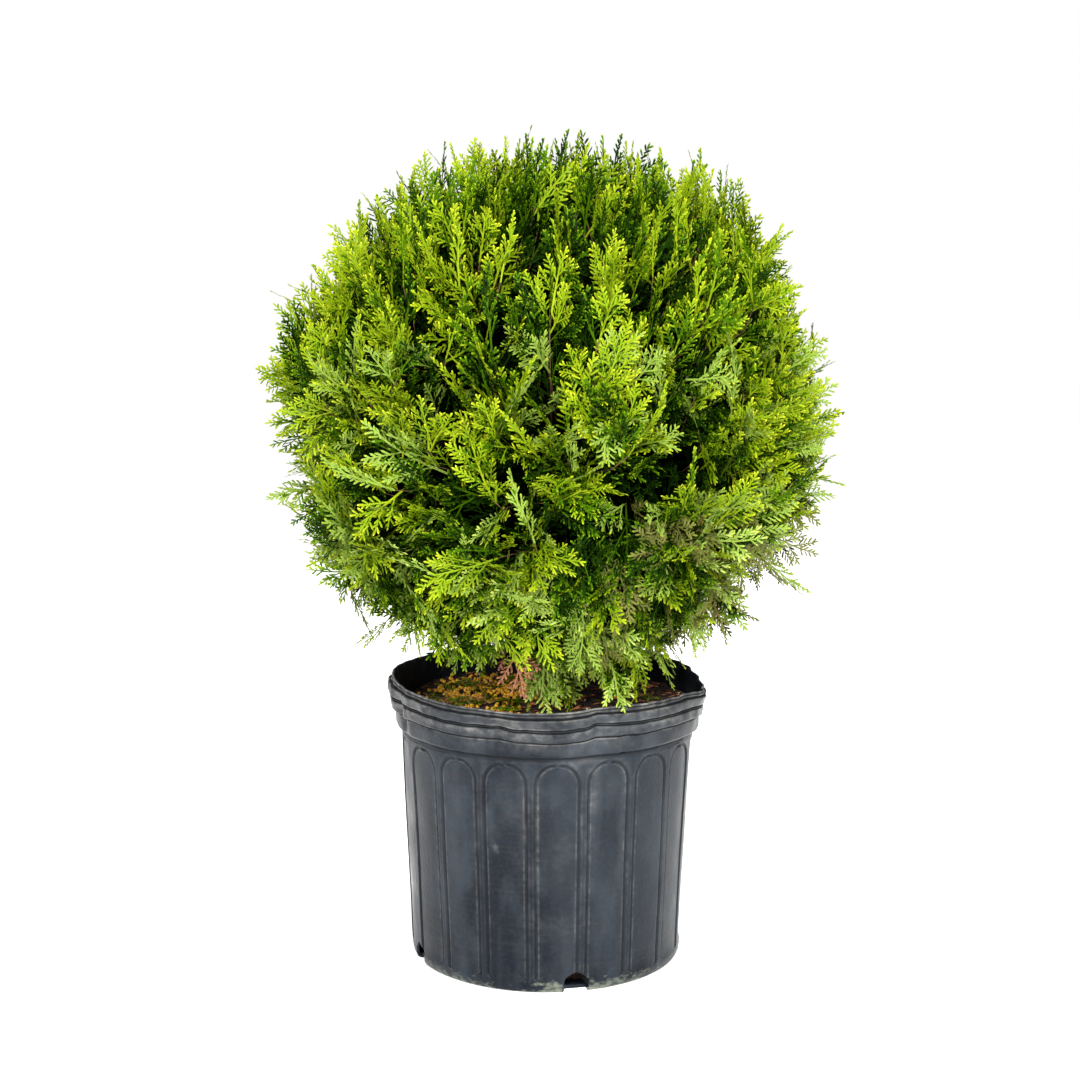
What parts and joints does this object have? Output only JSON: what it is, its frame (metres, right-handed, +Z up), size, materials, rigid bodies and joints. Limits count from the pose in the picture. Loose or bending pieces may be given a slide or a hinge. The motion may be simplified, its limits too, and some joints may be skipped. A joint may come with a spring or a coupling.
{
  "type": "potted globe arborvitae",
  "caption": "Round evergreen arborvitae shrub with flat green sprays, growing in a black plastic nursery can filled with bark mix.",
  "frame": {"origin": "centre of the can's flat underside", "axes": "+Z up along the can's axis and the stem, -Y towards the side seen in the picture, +X to its right"},
  "size_m": [0.5006, 0.4935, 0.7142],
  "materials": {
    "can": "dusty black plastic",
    "mix": "moist bark mix",
    "bark": "fibrous bark",
    "foliage": "scale leaves"
  },
  "bodies": {
    "root": {"pot": "can", "potting_mix": "mix", "trunk": "bark", "bough_upper_1": "bark", "bough_upper_2": "bark", "bough_upper_3": "bark", "bough_upper_4": "bark", "bough_upper_5": "bark", "bough_middle_1": "bark", "bough_middle_2": "bark", "bough_middle_3": "bark", "bough_middle_4": "bark", "bough_middle_5": "bark", "bough_middle_6": "bark", "bough_middle_7": "bark", "bough_lower_1": "bark", "bough_lower_2": "bark", "bough_lower_3": "bark", "bough_lower_4": "bark", "bough_lower_5": "bark", "bough_lower_6": "bark", "bough_lower_7": "bark", "foliage_top": "foliage", "foliage_upper_1": "foliage", "foliage_upper_2": "foliage", "foliage_upper_3": "foliage", "foliage_upper_4": "foliage", "foliage_upper_5": "foliage", "foliage_middle_1": "foliage", "foliage_middle_2": "foliage", "foliage_middle_3": "foliage", "foliage_middle_4": "foliage", "foliage_middle_5": "foliage", "foliage_middle_6": "foliage", "foliage_middle_7": "foliage", "foliage_lower_1": "foliage", "foliage_lower_2": "foliage", "foliage_lower_3": "foliage", "foliage_lower_4": "foliage", "foliage_lower_5": "foliage", "foliage_lower_6": "foliage", "foliage_lower_7": "foliage", "foliage_foot_1": "foliage", "foliage_foot_2": "foliage", "foliage_foot_3": "foliage", "foliage_foot_4": "foliage"}
  },
  "joints": []
}
